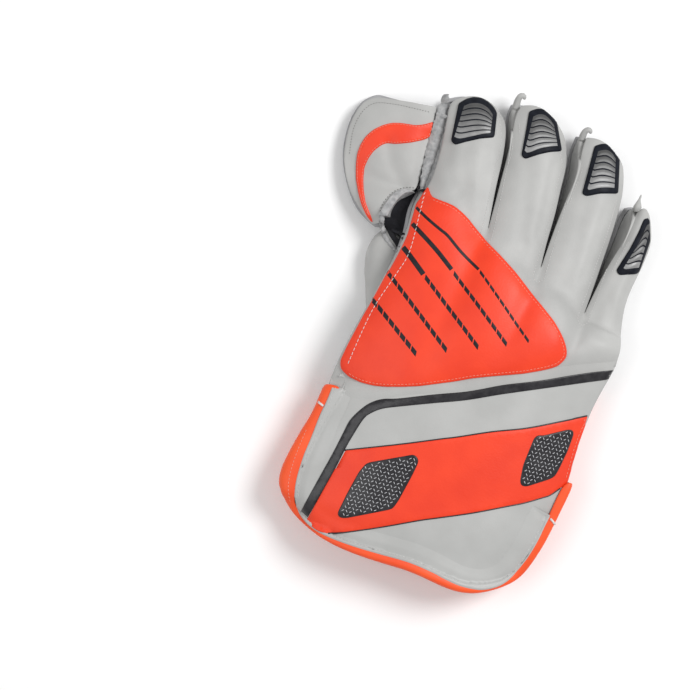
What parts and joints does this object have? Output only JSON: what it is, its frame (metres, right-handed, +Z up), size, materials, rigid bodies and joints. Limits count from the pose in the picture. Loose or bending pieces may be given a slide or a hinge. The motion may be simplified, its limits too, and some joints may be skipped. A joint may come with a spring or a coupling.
{
  "type": "wicketkeeping glove",
  "caption": "Right-hand cricket keeper's glove with padded split cuff, catching web, fingertip guards and rubber palm, lying palm down.",
  "frame": {"origin": "centre of the glove's footprint on the surface it lies on, palm down", "axes": "+Y from the cuff to the fingertips, +X towards the little finger, +Z up out of the back of the hand"},
  "size_m": [0.1998, 0.3098, 0.0519],
  "materials": {
    "white_leather": "pale grey-white smooth leather with fine grain",
    "orange_leather": "bright orange coated leather, satin",
    "orange_binding": "folded orange edge tape, satin",
    "black_vinyl": "black glossy vinyl with light creases",
    "metal_grey": "moulded guard with a metallic grey coat",
    "palm_rubber": "matt grey pimpled rubber",
    "dark_lining": "black lining cloth"
  },
  "bodies": {
    "root": {"back_leather": "white_leather", "palm_rubber": "palm_rubber", "index_edge": "palm_rubber", "index_gusset": "white_leather", "middle_gusset": "white_leather", "ring_gusset": "white_leather", "little_gusset": "white_leather", "thumb_side_gusset": "white_leather", "outer_side_gusset": "white_leather", "thumb_stall": "white_leather", "web_leather": "white_leather", "web_rubber": "palm_rubber", "thumb_lining": "dark_lining", "thumb_opening_binding": "palm_rubber", "cuff_back": "white_leather", "cuff_palm": "white_leather", "cuff_back_binding": "orange_binding", "cuff_palm_binding": "orange_binding", "cuff_thumb_gusset": "white_leather", "cuff_outer_gusset": "white_leather", "back_panel": "orange_leather", "cuff_stripe": "black_vinyl", "cuff_band": "orange_leather", "cuff_patch_left": "black_vinyl", "cuff_patch_right": "black_vinyl", "web_stripe": "orange_leather", "seam_nub_middle": "white_leather", "seam_nub_ring": "white_leather", "seam_nub_little": "white_leather", "guard_base_index": "black_vinyl", "guard_slats_index": "metal_grey", "guard_base_middle": "black_vinyl", "guard_slats_middle": "metal_grey", "guard_base_ring": "black_vinyl", "guard_slats_ring": "metal_grey", "guard_base_little": "black_vinyl", "guard_slats_little": "metal_grey"}
  },
  "joints": []
}
